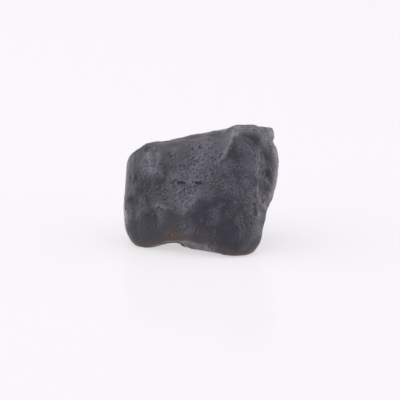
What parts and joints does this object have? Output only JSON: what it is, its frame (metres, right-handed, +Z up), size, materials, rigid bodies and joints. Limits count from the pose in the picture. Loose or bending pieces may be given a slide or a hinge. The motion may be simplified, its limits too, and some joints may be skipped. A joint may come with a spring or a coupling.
{
  "type": "tektite",
  "caption": "Blunt block of black natural glass with a hollowed, pitted front and a thick fold of glass down one end, resting on its flat underside.",
  "frame": {"origin": "under the middle of the stone's box, on the surface that it rests on", "axes": "+Z up, +X along the length towards the end with the thick fold, -Y out of the hollowed front"},
  "size_m": [0.0364, 0.0236, 0.0285],
  "materials": {
    "tektite_glass": "natural black glass etched matt in the ground, opaque, with small pits"
  },
  "bodies": {
    "root": {"tektite": "tektite_glass"}
  },
  "joints": []
}
